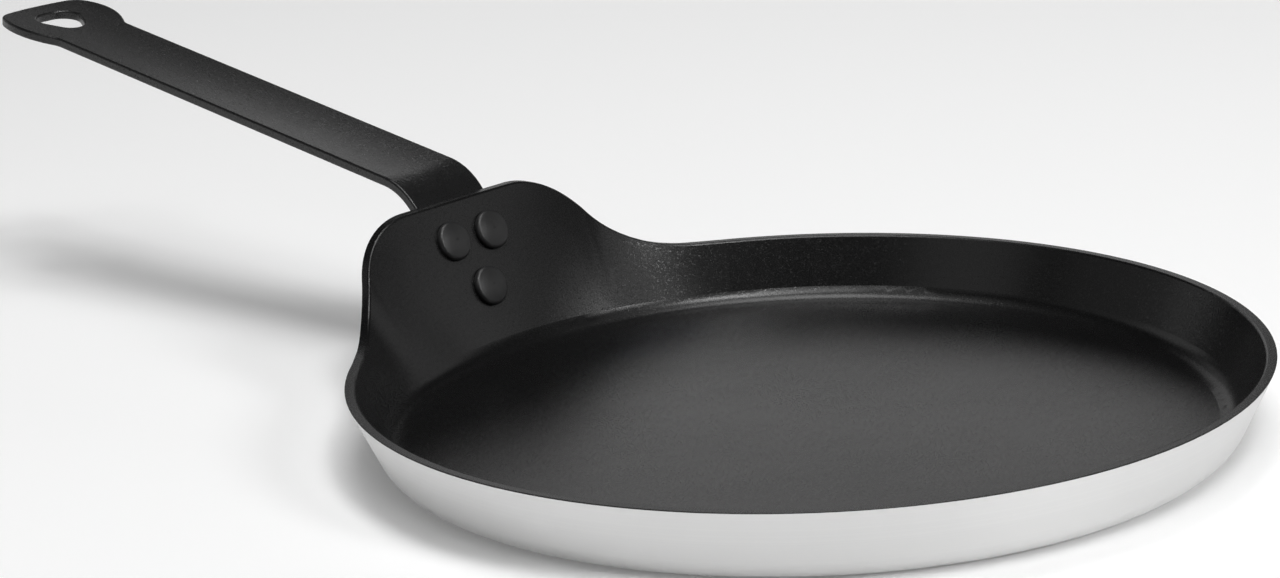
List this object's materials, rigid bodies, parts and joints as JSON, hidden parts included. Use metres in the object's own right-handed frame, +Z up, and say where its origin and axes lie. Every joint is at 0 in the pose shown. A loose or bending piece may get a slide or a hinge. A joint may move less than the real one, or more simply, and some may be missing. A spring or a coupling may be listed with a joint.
{
  "type": "crepe pan",
  "caption": "Shallow round crepe pan with a sloped low wall, a raised riveted tab and a long, bent flat strip handle with a flared end and a hanging hole.",
  "frame": {"origin": "centre of the round base's underside, on the face that rests on the stove", "axes": "+Z up; +X from the pan's centre towards the handle's free end; +Y to the left of the handle when it points away"},
  "size_m": [0.4713, 0.2598, 0.0875],
  "materials": {
    "bare_aluminium": "satin, turned",
    "nonstick_black": "matte nonstick coating with a fine sparkle",
    "handle_black": "fine-textured black coating on steel",
    "rivet_grey": "dark satin"
  },
  "bodies": {
    "root": {"pan_body": "bare_aluminium", "nonstick_coating": "nonstick_black", "handle": "handle_black", "rivet_left": "rivet_grey", "rivet_right": "rivet_grey", "rivet_lower": "rivet_grey"}
  },
  "joints": []
}
